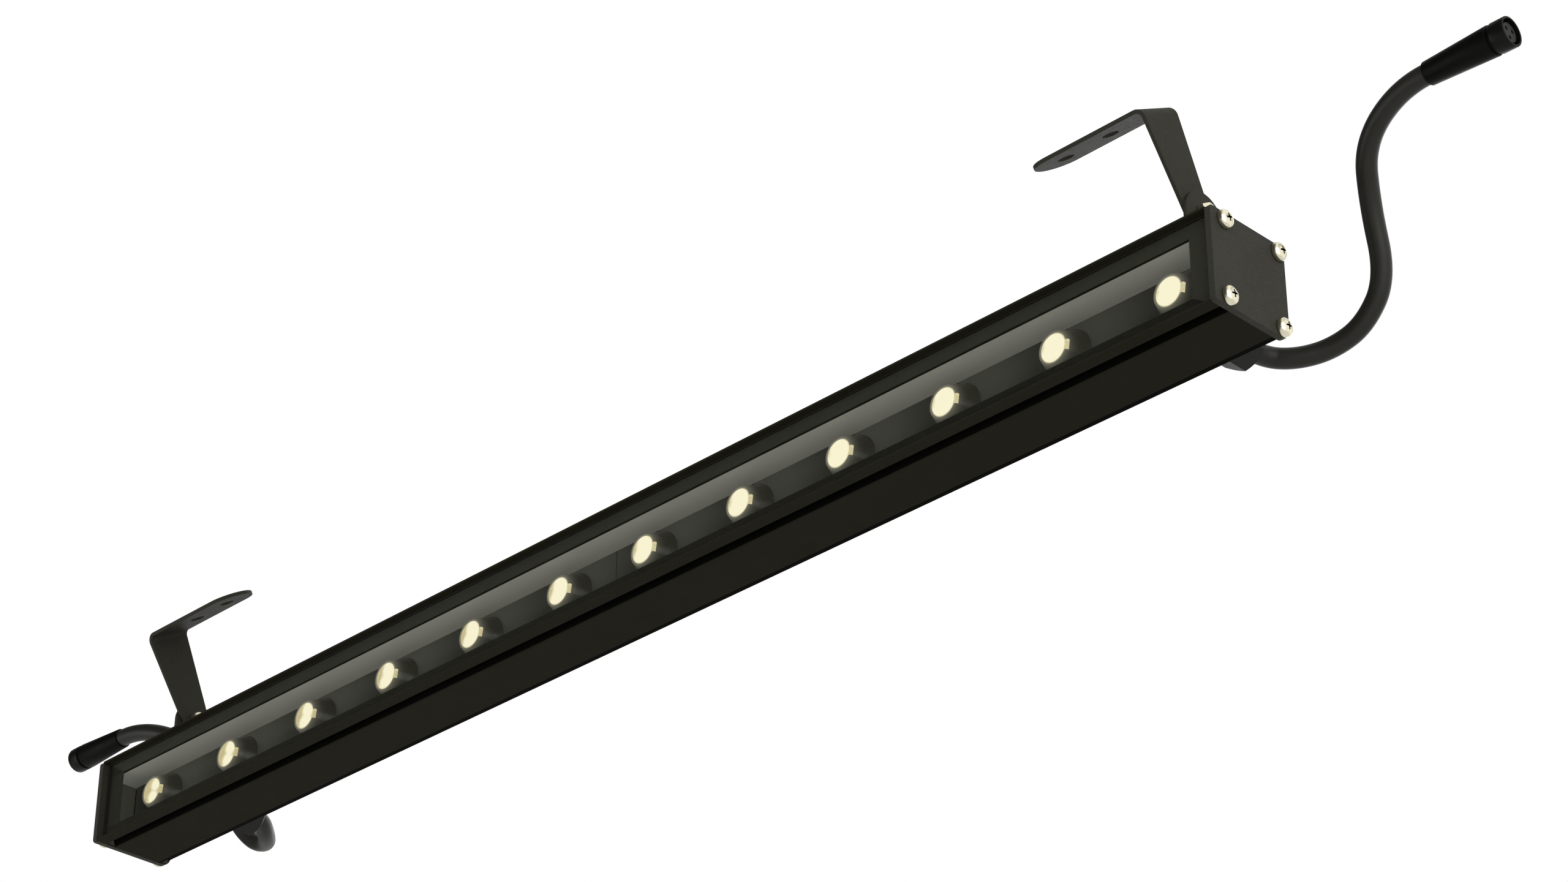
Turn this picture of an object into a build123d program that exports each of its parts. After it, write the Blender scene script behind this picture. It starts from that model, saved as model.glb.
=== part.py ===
from build123d import *
import math
import os

# Outdoor wall washer light: a slim aluminium housing with a row of lensed LEDs behind glass,
# hung between two angle brackets, with a lead and a plug connector at each end.
#
# Everything is drawn in the housing's own axes, in millimetres: X runs along the housing from
# its middle, Y from the front edges to the back, and Z up from the underside. On writing, the
# whole light moves so that the origin lies midway between the bracket feet, on the plane of
# the surface that they are screwed to.

# ---------------------------------------------------------------- driving dimensions

# Housing extrusion
LENGTH = 500.0              # over both end caps
DEPTH = 31.7                # front edges to back face
HEIGHT = 30.1
LIP_THICK = 0.7             # top and bottom lips in front of the glass
GLASS_SET_BACK = 2.2        # front edges to the face of the glass
FLANGE_THICK = 0.9          # flange that the glass is bonded to
WINDOW_EDGE = 5.5           # top and bottom faces to the clear opening in the flange
WALL_THICK = 5.0            # top and bottom walls of both chambers
BOARD_FACE = 14.4           # front edges to the face of the LED boards
MID_WALL = 2.0              # wall that the boards lie on
BACK_WALL = 2.0
CHAMBER_ROUND = 1.0         # corners of the rear chamber
GROOVE_BACK = 8.2           # rear edge of the long groove, from the front edges
GROOVE_ROUND = 1.0          # softened rear edge of the groove
REBATE_HEIGHT = 2.3         # step along the two back edges
REBATE_ROUND = 0.8

# Screw channels in the extrusion, which the grooves and rebates open into
PORT_RADIUS = 1.35
PORT_INSET = 2.9            # channel centres from the top and bottom faces
PORT_FRONT = 5.5            # front channel centres from the front edges
PORT_BACK = 3.1             # rear channel centres from the back face

# Glass with its black border, and the bead that seals it
GLASS_THICK = 0.9
BORDER_THICK = 0.15
END_BORDER = 7.2            # black border at each end of the glass
BEAD_WIDTH = 0.4            # along the lips
BEAD_END_WIDTH = 1.0        # next to the end caps
BEAD_SET_BACK = 0.3

# Light grey liners along the top and bottom of the light chamber
LINER_THICK = 0.6
LINER_GAP = 0.4             # shadow gap behind the flange

# End caps, gaskets and their screws
CAP_THICK = 2.0
CAP_FRONT_ROUND = 1.0
CAP_BACK_ROUND = 3.5
GASKET_THICK = 0.8
GASKET_EDGE = 0.8           # gasket to the top and bottom of the cap
GASKET_FRONT = 3.5          # gasket to the front of the cap
GASKET_BACK = 1.2
GASKET_WIDTH = 4.0          # of the strip behind the flange
GASKET_OVERLAP = 1.0        # gasket past the chamber walls
SCREW_SHANK = 1.25          # radius
SCREW_HOLE = 1.6            # clearance hole radius
SCREW_HEAD = 2.8            # radius
SCREW_RIM = 1.2             # upright rim of the head
SCREW_CROWN = 1.8           # radius of the flat crown
SCREW_HEAD_HEIGHT = 2.4
SCREW_LENGTH = 8.0

# LED boards, chips, lens holders and lenses
LED_PITCH = 41.81
LED_MARGIN = 15.0           # least distance from the end of a board to an LED
BOARD_GAP = 0.5             # between the two boards
BOARD_END_GAP = 0.7         # board to end cap
BOARD_EDGE_GAP = 0.3        # board to the chamber walls
BOARD_THICK = 1.6
CHIP_SIZE = 3.45
CHIP_THICK = 0.8
HOLDER_FRONT = 4.9          # outer radius at the front rim
HOLDER_BASE = 8.35          # outer radius on the board
HOLDER_HEIGHT = 7.0
SEAT_DEPTH = 1.0            # thickness of the lens flange
SEAT_WIDTH = 0.6            # ledge under the lens flange
LENS_RADIUS = 4.5
LENS_FIT = 0.05
LENS_TIP = 2.6              # radius next to the chip
LENS_LENGTH = 5.9
TAB_REACH = 5.4             # locating tab, from the lens axis
TAB_WIDTH = 3.0
TAB_THICK = 0.8
TAB_TURN = -9.0             # tab below level, in degrees

# Brackets, ears and pivots
BRACKET_ANGLE = 28.3        # lean of the legs towards the front
BRACKET_THICK = 1.25
BRACKET_INSET = 21.3        # end of the housing to the outer face of the leg
BRACKET_REACH = 34.85       # pivot to the fixing plane
LEG_END = 5.6               # radius of the leg round the pivot
FOOT_RADIUS = 8.4           # half the width of the foot, and its rounded tip
FOOT_LENGTH = 44.7
BEND_ROUND = 3.25           # outer radius of the bend
FIXING_HOLE = 2.46          # radius
FIXING_HOLE_NEAR = 18.0     # hole centres from the outer face of the leg
FIXING_HOLE_PITCH = 16.76
PIVOT_Y = 23.75
PIVOT_ABOVE = 15.7          # above the top of the housing
EAR_THICK = 1.25
EAR_RADIUS = 8.19           # half the width of the ear, and its rounded top
EAR_BEND = 0.6              # inner radius of the bend
EAR_FOOT = 16.0             # length of the foot past the upright
EAR_SCREW_NEAR = 5.4        # screws from the outer face of the upright
EAR_SCREW_PITCH = 6.5
EAR_SCREW_FORWARD = 2.5     # screws in front of the pivot
EAR_SCREW_LENGTH = 5.0
PLATE_GAP = 0.05            # running gap between leg, ear and bolt head
BOLT_RADIUS = 2.0
BOLT_FIT = 0.05             # running clearance in the leg
BOLT_HEAD = 4.0             # radius
BOLT_HEAD_HEIGHT = 3.1
BOLT_RIM = 1.9              # upright rim of the head
BOLT_CROWN = 2.6            # radius of the flat crown
NUT_FLATS = 7.0
NUT_HEIGHT = 2.4
NUT_RIM = 1.9               # height at which the corners start to be turned down
NUT_CROWN = 3.4             # radius of the flat end

# Cable glands on the back face
GLAND_INSET = 27.0          # end of the housing to the gland's axis
GLAND_DROP = 8.4            # gland's axis below the roof of the rear chamber
GLAND_FLATS = 14.0
GLAND_WASHER = 1.0
GLAND_WASHER_RADIUS = 6.9
GLAND_FLANGE = 3.8
GLAND_NUT = 11.7
GLAND_NUT_END = 6.2         # radius of the flat end of the nut
GLAND_NUT_CHAMFER = 1.6
GLAND_THREAD = 5.2          # radius
GLAND_THREAD_REACH = 6.0    # past the inner face of the back wall
GLAND_HOLE_FIT = 0.1
LOCKNUT_FLATS = 13.0
LOCKNUT_THICK = 3.0
SEAL_RADIUS = 4.3
SEAL_LENGTH = 5.0

# Leads
CABLE_RADIUS = 3.1
ARC_SHARE = 0.45            # share of the shorter run that each arc takes
TAIL_REACH = 1.5            # lead past the end of the gland's thread
CABLE_ROUTE = [             # right-hand lead, from the mouth of its gland to the connector
    (0.0, 0.0, 0.0),
    (0.0, 7.2, 0.0),
    (7.6, 12.6, -1.4),
    (16.4, 17.8, 0.5),
    (26.7, 19.8, 4.7),
    (36.0, 18.1, 15.4),
    (39.0, 9.3, 34.2),
    (46.7, -2.0, 45.8),
    (64.0, -8.0, 52.65),
    (73.8, -8.0, 52.65),
]

# Connectors
SLEEVE_REAR = 3.6           # radius
SLEEVE_FRONT = 4.62
SLEEVE_LENGTH = 21.9
NECK_RADIUS = 4.0
NECK_LENGTH = 1.0
RING_RADIUS = 4.6
RING_LENGTH = 5.0
RING_BORE = 3.9
SOCKET_INSERT = 3.1         # radius of the insert with the three sockets
SOCKET_SET_BACK = 0.8
CONTACT_CIRCLE = 1.6        # radius of the circle of contacts
CONTACT_COUNT = 3
SOCKET_HOLE = 0.55
SOCKET_DEPTH = 2.5
SOCKET_FLOOR = 1.0          # ring floor that the insert stands on
PIN_RADIUS = 0.45
PIN_SET_BACK = 1.0
PIN_INSERT_DEPTH = 3.0      # ring front to the face that the pins stand on

# Sides of the small or repeated round pieces, which are drawn as regular polygons
SCREW_SIDES = 10
LED_SIDES = 10
SMALL_SIDES = 16            # pivots, glands and connectors
CABLE_SIDES = 6
CONTACT_SIDES = 8

# ---------------------------------------------------------------- derived sizes

HALF_LENGTH = LENGTH / 2
CAP_INNER = HALF_LENGTH - CAP_THICK
MID_HEIGHT = HEIGHT / 2
LOW_WALL = WALL_THICK
HIGH_WALL = HEIGHT - WALL_THICK
FLANGE_FRONT = GLASS_SET_BACK + GLASS_THICK + BORDER_THICK
FLANGE_BACK = FLANGE_FRONT + FLANGE_THICK
BOARD_SEAT = BOARD_FACE + BOARD_THICK
REAR_CHAMBER = BOARD_SEAT + MID_WALL
BACK_WALL_INNER = DEPTH - BACK_WALL
PORT_REAR = DEPTH - PORT_BACK
PIVOT_Z = HEIGHT + PIVOT_ABOVE
BRACKET_FACE = HALF_LENGTH - BRACKET_INSET
EAR_INNER = BRACKET_FACE + PLATE_GAP
EAR_OUTER = EAR_INNER + EAR_THICK
BOARD_LENGTH = CAP_INNER - BOARD_GAP / 2 - BOARD_END_GAP
BOARD_MIDDLE = BOARD_GAP / 2 + BOARD_LENGTH / 2
LED_COUNT = 1 + int((BOARD_LENGTH - 2 * LED_MARGIN) / LED_PITCH)
LED_PLACES = [BOARD_MIDDLE + LED_PITCH * (i - (LED_COUNT - 1) / 2) for i in range(LED_COUNT)]
GLAND_X = HALF_LENGTH - GLAND_INSET
GLAND_Z = HIGH_WALL - GLAND_DROP
GLAND_END = DEPTH + GLAND_WASHER + GLAND_FLANGE + GLAND_NUT
OVERCUT = 1.0               # how far a cutter runs past the face that it opens
SAME_PLACE = 0.01           # corners nearer than this are the same corner


# ---------------------------------------------------------------- helpers

def rect(y0, y1, z0, z1):
    """Rectangle in the housing's section, from Y and Z limits."""
    return Pos((y0 + y1) / 2, (z0 + z1) / 2) * Rectangle(y1 - y0, z1 - z0)


def upside_down(section):
    """The same section turned over about the housing's mid height."""
    return Pos(0, HEIGHT) * mirror(section, about=Plane.XZ)


def along_x(section, x0, x1):
    """A section drawn in Y and Z, carried from x0 to x1."""
    return extrude(Plane.YZ.offset(x0) * section, x1 - x0)


def hexagon(flats, height):
    """Hexagonal bar on Z with a corner on X, from zero up."""
    return extrude(RegularPolygon(flats / 2, 6, major_radius=False), height)


def bar(radius, height, sides):
    """Bar on Z with flat sides, from zero up or down."""
    return extrude(RegularPolygon(radius, sides), height)


def frustum(wide_radius, narrow_radius, height, sides):
    """Bar on Z with flat sides that narrows from zero up."""
    narrowing = (wide_radius - narrow_radius) * math.cos(math.pi / sides)
    taper = math.degrees(math.atan2(narrowing, height))
    return extrude(RegularPolygon(wide_radius, sides), height, taper=taper)


def widening(narrow_radius, wide_radius, height, sides):
    """Bar on Z with flat sides that widens from zero up."""
    return Pos(0, 0, height) * Rot(180, 0, 0) * frustum(wide_radius, narrow_radius, height, sides)


def headed(radius, rim, crown, height, sides):
    """Round head with flat sides, bevelled from its rim up to its crown."""
    bevel = Pos(0, 0, rim) * frustum(radius, crown, height - rim, sides)
    return bar(radius, rim, sides) + bevel


def facing(origin, direction):
    """Plane whose own Z points along a direction, to stand a turned piece on."""
    return Plane(origin=origin, z_dir=direction)


def group(shapes):
    """Separate solids that share a node."""
    return Compound([solid for shape in shapes for solid in shape.solids()])


def left_of(shape):
    """The matching piece at the left end."""
    return mirror(shape, about=Plane.YZ)


def screw(shank_length):
    """Pan head screw, its head above zero and its shank below."""
    head = headed(SCREW_HEAD, SCREW_RIM, SCREW_CROWN, SCREW_HEAD_HEIGHT, SCREW_SIDES)
    return head + bar(SCREW_SHANK, -shank_length, SCREW_SIDES)


# ---------------------------------------------------------------- housing

def port():
    """Section of a screw channel, with a corner on each side of its throat."""
    return RegularPolygon(PORT_RADIUS, SCREW_SIDES)


def front_groove():
    """Long groove that narrows to the front screw channel."""
    front = PORT_FRONT - PORT_RADIUS
    back = PORT_FRONT + PORT_RADIUS
    mouth = Polygon(
        (front, -OVERCUT),
        (front, PORT_INSET),
        (back, PORT_INSET),
        (GROOVE_BACK, 0),
        (GROOVE_BACK, -OVERCUT),
        align=None,
    )
    return mouth + Pos(PORT_FRONT, PORT_INSET) * port()


def back_rebate():
    """Step along the back edge that opens the rear screw channel."""
    front = PORT_REAR - PORT_RADIUS
    back = PORT_REAR + PORT_RADIUS
    step = rect(front, DEPTH + OVERCUT, -OVERCUT, REBATE_HEIGHT)
    throat = rect(front, back, -OVERCUT, PORT_INSET)
    return step + throat + Pos(PORT_REAR, PORT_INSET) * port()


def port_centres():
    """Centres of the four screw channels in Y and Z."""
    heights = (PORT_INSET, HEIGHT - PORT_INSET)
    return [(y, z) for y in (PORT_FRONT, PORT_REAR) for z in heights]


def corners_at(section, y, z):
    """Corners of the section at a place and at its twin on the other side of mid height."""
    return [
        v for v in section.vertices()
        if abs(v.X - y) < SAME_PLACE and min(abs(v.Y - z), abs(HEIGHT - v.Y - z)) < SAME_PLACE
    ]


def housing_section():
    section = rect(0, DEPTH, 0, HEIGHT)
    section -= rect(-OVERCUT, FLANGE_FRONT, LIP_THICK, HEIGHT - LIP_THICK)
    section -= rect(0, BOARD_SEAT, WINDOW_EDGE, HEIGHT - WINDOW_EDGE)
    section -= rect(FLANGE_BACK, BOARD_SEAT, LOW_WALL, HIGH_WALL)
    chamber = rect(REAR_CHAMBER, BACK_WALL_INNER, LOW_WALL, HIGH_WALL)
    section -= fillet(chamber.vertices(), CHAMBER_ROUND)
    for cut in (front_groove(), back_rebate()):
        section -= cut
        section -= upside_down(cut)
    section = fillet(corners_at(section, GROOVE_BACK, 0), GROOVE_ROUND)
    return fillet(corners_at(section, DEPTH, REBATE_HEIGHT), REBATE_ROUND)


def ear_screw_places():
    """X and Y of the screws that hold the right-hand ear."""
    first = EAR_OUTER + EAR_SCREW_NEAR
    y = PIVOT_Y - EAR_SCREW_FORWARD
    return [(first, y), (first + EAR_SCREW_PITCH, y)]


def housing_extrusion():
    body = along_x(housing_section(), -CAP_INNER, CAP_INNER)
    thread_hole = bar(GLAND_THREAD + GLAND_HOLE_FIT, BACK_WALL + 2 * OVERCUT, SMALL_SIDES)
    gland_hole = on_gland(BACK_WALL_INNER - OVERCUT) * thread_hole
    ear_hole = bar(SCREW_SHANK, -EAR_SCREW_LENGTH, SCREW_SIDES)
    holes = [gland_hole] + [Pos(x, y, HEIGHT) * ear_hole for x, y in ear_screw_places()]
    for hole in holes:
        body -= hole
        body -= left_of(hole)
    return body


def cap_outline():
    outline = rect(0, DEPTH, 0, HEIGHT)
    outline = fillet(corners_at(outline, 0, 0), CAP_FRONT_ROUND)
    return fillet(corners_at(outline, DEPTH, 0), CAP_BACK_ROUND)


def port_holes():
    return [Pos(y, z) * RegularPolygon(SCREW_HOLE, SCREW_SIDES) for y, z in port_centres()]


def gasket_section():
    ring = rect(GASKET_FRONT, DEPTH - GASKET_BACK, GASKET_EDGE, HEIGHT - GASKET_EDGE)
    opening_y = (FLANGE_BACK + GASKET_WIDTH, PORT_REAR - PORT_RADIUS - GASKET_OVERLAP)
    ring -= rect(*opening_y, LOW_WALL + GASKET_OVERLAP, HIGH_WALL - GASKET_OVERLAP)
    return ring - port_holes()


def end_cap():
    plate = along_x(cap_outline() - port_holes(), CAP_INNER, HALF_LENGTH)
    return plate - along_x(gasket_section(), CAP_INNER, CAP_INNER + GASKET_THICK)


def end_gasket():
    return along_x(gasket_section(), CAP_INNER, CAP_INNER + GASKET_THICK)


def cap_screws():
    part = screw(SCREW_LENGTH)
    return group([facing((HALF_LENGTH, y, z), (1, 0, 0)) * part for y, z in port_centres()])


# ---------------------------------------------------------------- glass and liners

def upright(section, y0, y1):
    """A section drawn in X and height about mid height, carried back from y0 to y1."""
    plane = Plane(origin=(0, y0, MID_HEIGHT), x_dir=(1, 0, 0), z_dir=(0, 1, 0))
    return plane * extrude(section, y1 - y0)


def panel(half_length, half_height):
    return Rectangle(2 * half_length, 2 * half_height)


def glass_size():
    """Half length and half height of the glass."""
    return (CAP_INNER - BEAD_END_WIDTH, MID_HEIGHT - LIP_THICK - BEAD_WIDTH)


def front_glass():
    return upright(panel(*glass_size()), GLASS_SET_BACK, GLASS_SET_BACK + GLASS_THICK)


def glass_border():
    half_length, half_height = glass_size()
    window = panel(half_length - END_BORDER, MID_HEIGHT - WINDOW_EDGE)
    border = panel(half_length, half_height) - window
    return upright(border, GLASS_SET_BACK + GLASS_THICK, FLANGE_FRONT)


def glass_bead():
    bead = panel(CAP_INNER, MID_HEIGHT - LIP_THICK) - panel(*glass_size())
    return upright(bead, GLASS_SET_BACK + BEAD_SET_BACK, FLANGE_FRONT)


def cavity_liners():
    strip = rect(FLANGE_BACK + LINER_GAP, BOARD_FACE, LOW_WALL, LOW_WALL + LINER_THICK)
    return group([along_x(s, -CAP_INNER, CAP_INNER) for s in (strip, upside_down(strip))])


# ---------------------------------------------------------------- LEDs

def on_board(x):
    """Plane on the face of the board at one LED, its Z pointing out of the front."""
    return Plane(origin=(x, BOARD_FACE, MID_HEIGHT), x_dir=(1, 0, 0), z_dir=(0, -1, 0))


def all_leds(piece):
    """One copy of a piece at every LED on both boards."""
    return group([on_board(side * x) * piece for side in (-1, 1) for x in LED_PLACES])


def led_board():
    section = rect(BOARD_FACE, BOARD_SEAT, LOW_WALL + BOARD_EDGE_GAP, HIGH_WALL - BOARD_EDGE_GAP)
    return along_x(section, BOARD_GAP / 2, BOARD_GAP / 2 + BOARD_LENGTH)


def led_chip():
    return extrude(Rectangle(CHIP_SIZE, CHIP_SIZE), CHIP_THICK)


def lens_tab(width_fit):
    """Tab of the lens flange, or with a fit the notch for it in the holder's rim."""
    reach = TAB_REACH + width_fit
    tab = Pos(reach / 2, 0) * Rectangle(reach, TAB_WIDTH + 2 * width_fit)
    tab = Rot(0, 0, TAB_TURN) * tab
    return Pos(0, 0, HOLDER_HEIGHT - TAB_THICK - width_fit) * extrude(tab, TAB_THICK + width_fit)


def lens_holder():
    mouth = LENS_RADIUS + LENS_FIT
    seat = HOLDER_HEIGHT - SEAT_DEPTH
    holder = frustum(HOLDER_BASE, HOLDER_FRONT, HOLDER_HEIGHT, LED_SIDES)
    holder -= bar(mouth - SEAT_WIDTH, HOLDER_HEIGHT, LED_SIDES)
    holder -= Pos(0, 0, seat) * bar(mouth, SEAT_DEPTH, LED_SIDES)
    return holder - lens_tab(LENS_FIT)


def lens():
    """Collimating lens: a cone over the chip that widens to a flange with one tab."""
    seat = HOLDER_HEIGHT - SEAT_DEPTH
    tip = HOLDER_HEIGHT - LENS_LENGTH
    cone = widening(LENS_TIP, LENS_RADIUS - SEAT_WIDTH, seat - tip, LED_SIDES)
    flange = bar(LENS_RADIUS, SEAT_DEPTH, LED_SIDES)
    return Pos(0, 0, tip) * cone + Pos(0, 0, seat) * flange + lens_tab(0)


# ---------------------------------------------------------------- brackets and pivots

def at_pivot():
    """Bracket axes: Y across the leg, Z from the pivot along it."""
    return Pos(0, PIVOT_Y, PIVOT_Z) * Rot(BRACKET_ANGLE, 0, 0)


def fixing_hole_places():
    near = BRACKET_FACE - FIXING_HOLE_NEAR
    return [near, near - FIXING_HOLE_PITCH]


def bracket():
    """Right-hand bracket: a tapered leg bent over into a foot with a rounded tip."""
    foot_tip = BRACKET_FACE - FOOT_LENGTH
    inner_round = BEND_ROUND - BRACKET_THICK
    sheet = Polyline(
        (foot_tip, BRACKET_REACH),
        (BRACKET_FACE, BRACKET_REACH),
        (BRACKET_FACE, -LEG_END),
        (BRACKET_FACE - BRACKET_THICK, -LEG_END),
        (BRACKET_FACE - BRACKET_THICK, BRACKET_REACH - BRACKET_THICK),
        (foot_tip, BRACKET_REACH - BRACKET_THICK),
        close=True,
    )
    sheet = make_face(sheet)
    outer = sheet.vertices().group_by(Axis.X)[-1].sort_by(Axis.Y)[-1]
    sheet = fillet(outer, BEND_ROUND)
    inner = [
        v for v in sheet.vertices()
        if abs(v.X - BRACKET_FACE + BRACKET_THICK) < SAME_PLACE and v.Y > 0
    ]
    sheet = fillet(inner, inner_round)
    strip = extrude(Plane.XZ * sheet, FOOT_RADIUS, both=True)

    taper = Polygon(
        (-LEG_END, 0),
        (LEG_END, 0),
        (FOOT_RADIUS, BRACKET_REACH - BEND_ROUND),
        (FOOT_RADIUS, BRACKET_REACH),
        (-FOOT_RADIUS, BRACKET_REACH),
        (-FOOT_RADIUS, BRACKET_REACH - BEND_ROUND),
        align=None,
    )
    leg_outline = taper + Circle(LEG_END)
    leg_outline -= RegularPolygon(BOLT_RADIUS + BOLT_FIT, SMALL_SIDES)

    tip_centre = foot_tip + FOOT_RADIUS
    straight = BRACKET_FACE - tip_centre
    foot_outline = Pos(tip_centre + straight / 2, 0) * Rectangle(straight, 2 * FOOT_RADIUS)
    foot_outline += Pos(tip_centre, 0) * Circle(FOOT_RADIUS)
    for x in fixing_hole_places():
        foot_outline -= Pos(x, 0) * Circle(FIXING_HOLE)

    leg_cutter = along_x(leg_outline, foot_tip, BRACKET_FACE)
    foot_cutter = Pos(0, 0, -LEG_END) * extrude(foot_outline, LEG_END + BRACKET_REACH)
    return at_pivot() * (strip & leg_cutter & foot_cutter)


def ear():
    """Right-hand ear: an upright with a rounded top, bent outwards into a screwed foot."""
    foot_end = EAR_OUTER + EAR_FOOT
    foot_top = HEIGHT + EAR_THICK
    top = PIVOT_Z + EAR_RADIUS
    sheet = Polyline(
        (EAR_INNER, top),
        (EAR_INNER, HEIGHT),
        (foot_end, HEIGHT),
        (foot_end, foot_top),
        (EAR_OUTER, foot_top),
        (EAR_OUTER, top),
        close=True,
    )
    sheet = make_face(sheet)
    outer = sheet.vertices().group_by(Axis.X)[0].sort_by(Axis.Y)[0]
    sheet = fillet(outer, EAR_BEND + EAR_THICK)
    inner = [
        v for v in sheet.vertices()
        if abs(v.X - EAR_OUTER) < SAME_PLACE and abs(v.Y - foot_top) < SAME_PLACE
    ]
    sheet = fillet(inner, EAR_BEND)
    strip = Pos(0, PIVOT_Y, 0) * extrude(Plane.XZ * sheet, EAR_RADIUS, both=True)

    outline = rect(PIVOT_Y - EAR_RADIUS, PIVOT_Y + EAR_RADIUS, HEIGHT, PIVOT_Z)
    outline += Pos(PIVOT_Y, PIVOT_Z) * Circle(EAR_RADIUS)
    outline -= Pos(PIVOT_Y, PIVOT_Z) * RegularPolygon(BOLT_RADIUS, SMALL_SIDES)
    part = strip & along_x(outline, EAR_INNER, foot_end)
    for x, y in ear_screw_places():
        part -= Pos(x, y, HEIGHT) * bar(SCREW_HOLE, EAR_THICK, SCREW_SIDES)
    return part


def ear_screws():
    part = screw(EAR_SCREW_LENGTH + EAR_THICK)
    seat = HEIGHT + EAR_THICK
    return group([Pos(x, y, seat) * part for x, y in ear_screw_places()])


def on_pivot(x, direction):
    """Plane square to the pivot at x, facing outboard with 1 and inboard with -1."""
    return Plane(origin=(x, PIVOT_Y, PIVOT_Z), x_dir=(0, 1, 0), z_dir=(direction, 0, 0))


def pivot_bolt():
    """Bolt through leg and ear, its head on the inboard side."""
    under_head = BRACKET_FACE - BRACKET_THICK - PLATE_GAP
    shank = EAR_OUTER + NUT_HEIGHT - under_head
    bolt = headed(BOLT_HEAD, BOLT_RIM, BOLT_CROWN, BOLT_HEAD_HEIGHT, SMALL_SIDES)
    bolt += bar(BOLT_RADIUS, -shank, SMALL_SIDES)
    return on_pivot(under_head, -1) * bolt


def pivot_nut():
    """Hexagonal nut against the ear, one flat on top, flush with the end of the bolt."""
    nut = hexagon(NUT_FLATS, NUT_HEIGHT)
    nut &= headed(NUT_FLATS / math.sqrt(3), NUT_RIM, NUT_CROWN, NUT_HEIGHT, SMALL_SIDES)
    return on_pivot(EAR_OUTER, 1) * (nut - bar(BOLT_RADIUS, NUT_HEIGHT, SMALL_SIDES))


# ---------------------------------------------------------------- glands and leads

def on_gland(y):
    """Plane square to the right-hand gland, with hexagon corners at top and bottom."""
    return Plane(origin=(GLAND_X, y, GLAND_Z), x_dir=(0, 0, 1), z_dir=(0, 1, 0))


def lead_bore(length):
    """The lead's own section, to cut a bore or to stand for the lead in one."""
    return bar(CABLE_RADIUS, length, CABLE_SIDES)


def gland_washer():
    disc = bar(GLAND_WASHER_RADIUS, GLAND_WASHER, SMALL_SIDES)
    return on_gland(DEPTH) * (disc - bar(GLAND_THREAD, GLAND_WASHER, SMALL_SIDES))


def gland_body():
    thread_length = GLAND_WASHER + BACK_WALL + GLAND_THREAD_REACH
    body = hexagon(GLAND_FLATS, GLAND_FLANGE)
    body += bar(GLAND_THREAD, -thread_length, SMALL_SIDES)
    body -= Pos(0, 0, -thread_length) * lead_bore(thread_length + GLAND_FLANGE)
    return on_gland(DEPTH + GLAND_WASHER) * body


def gland_locknut():
    nut = hexagon(LOCKNUT_FLATS, LOCKNUT_THICK)
    nut -= bar(GLAND_THREAD, LOCKNUT_THICK, SMALL_SIDES)
    return on_gland(BACK_WALL_INNER - LOCKNUT_THICK) * nut


def gland_nut():
    """Hexagonal clamping nut, its outer end turned down to a chamfer."""
    corner = GLAND_FLATS / math.sqrt(3)
    rim = GLAND_NUT - GLAND_NUT_CHAMFER
    nut = hexagon(GLAND_FLATS, GLAND_NUT)
    nut &= headed(corner, rim, GLAND_NUT_END, GLAND_NUT, SMALL_SIDES)
    nut -= lead_bore(GLAND_NUT)
    nut -= Pos(0, 0, GLAND_NUT - SEAL_LENGTH) * bar(SEAL_RADIUS, SEAL_LENGTH, SMALL_SIDES)
    return on_gland(GLAND_END - GLAND_NUT) * nut


def gland_seal():
    ring = bar(SEAL_RADIUS, SEAL_LENGTH, SMALL_SIDES)
    return on_gland(GLAND_END - SEAL_LENGTH) * (ring - lead_bore(SEAL_LENGTH))


def cable_tail():
    """The lead inside the gland, which the free lead carries on from."""
    start = BACK_WALL_INNER - GLAND_THREAD_REACH - TAIL_REACH
    return on_gland(start) * lead_bore(GLAND_END - start)


def cable_points():
    """The route's points in the housing's axes."""
    mouth = Vector(GLAND_X, GLAND_END, GLAND_Z)
    return [mouth + Vector(*step) for step in CABLE_ROUTE]


def arc_radii(points):
    """Radius of the arc at each corner, as large as its two runs allow."""
    radii = []
    for before, corner, after in zip(points, points[1:], points[2:]):
        run_in = corner - before
        run_out = after - corner
        turn = math.radians(run_in.get_angle(run_out))
        radii.append(ARC_SHARE * min(run_in.length, run_out.length) / math.tan(turn / 2))
    return radii


def cable():
    points = cable_points()
    radii = arc_radii(points)
    path = FilletPolyline(*points, radius=radii)
    section = on_gland(GLAND_END) * RegularPolygon(CABLE_RADIUS, CABLE_SIDES)
    tube = sweep(section, path)
    section_times_length = section.area * path.length
    print("lead arc radii:", [round(r, 1) for r in radii])
    print("lead length:", round(path.length, 1))
    print("lead volume over section x length:", round(tube.volume / section_times_length, 4))
    return tube


# ---------------------------------------------------------------- connectors

def on_connector(distance):
    """Plane square to the right-hand connector, a distance in front of its rear end."""
    end = cable_points()[-1] + Vector(distance, 0, 0)
    return Plane(origin=end, x_dir=(0, 0, 1), z_dir=(1, 0, 0))


def connector_sleeve():
    """Moulded sleeve that widens from the lead to a neck behind the ring."""
    sleeve = widening(SLEEVE_REAR, SLEEVE_FRONT, SLEEVE_LENGTH, SMALL_SIDES)
    sleeve += Pos(0, 0, SLEEVE_LENGTH) * bar(NECK_RADIUS, NECK_LENGTH, SMALL_SIDES)
    return on_connector(0) * sleeve


def connector_ring():
    """Round shell open at the front, with a floor for the contact insert."""
    shell = bar(RING_RADIUS, RING_LENGTH, SMALL_SIDES)
    shell -= Pos(0, 0, SOCKET_FLOOR) * bar(RING_BORE, RING_LENGTH - SOCKET_FLOOR, SMALL_SIDES)
    return on_connector(SLEEVE_LENGTH + NECK_LENGTH) * shell


def contact_places():
    return PolarLocations(CONTACT_CIRCLE, CONTACT_COUNT)


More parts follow.
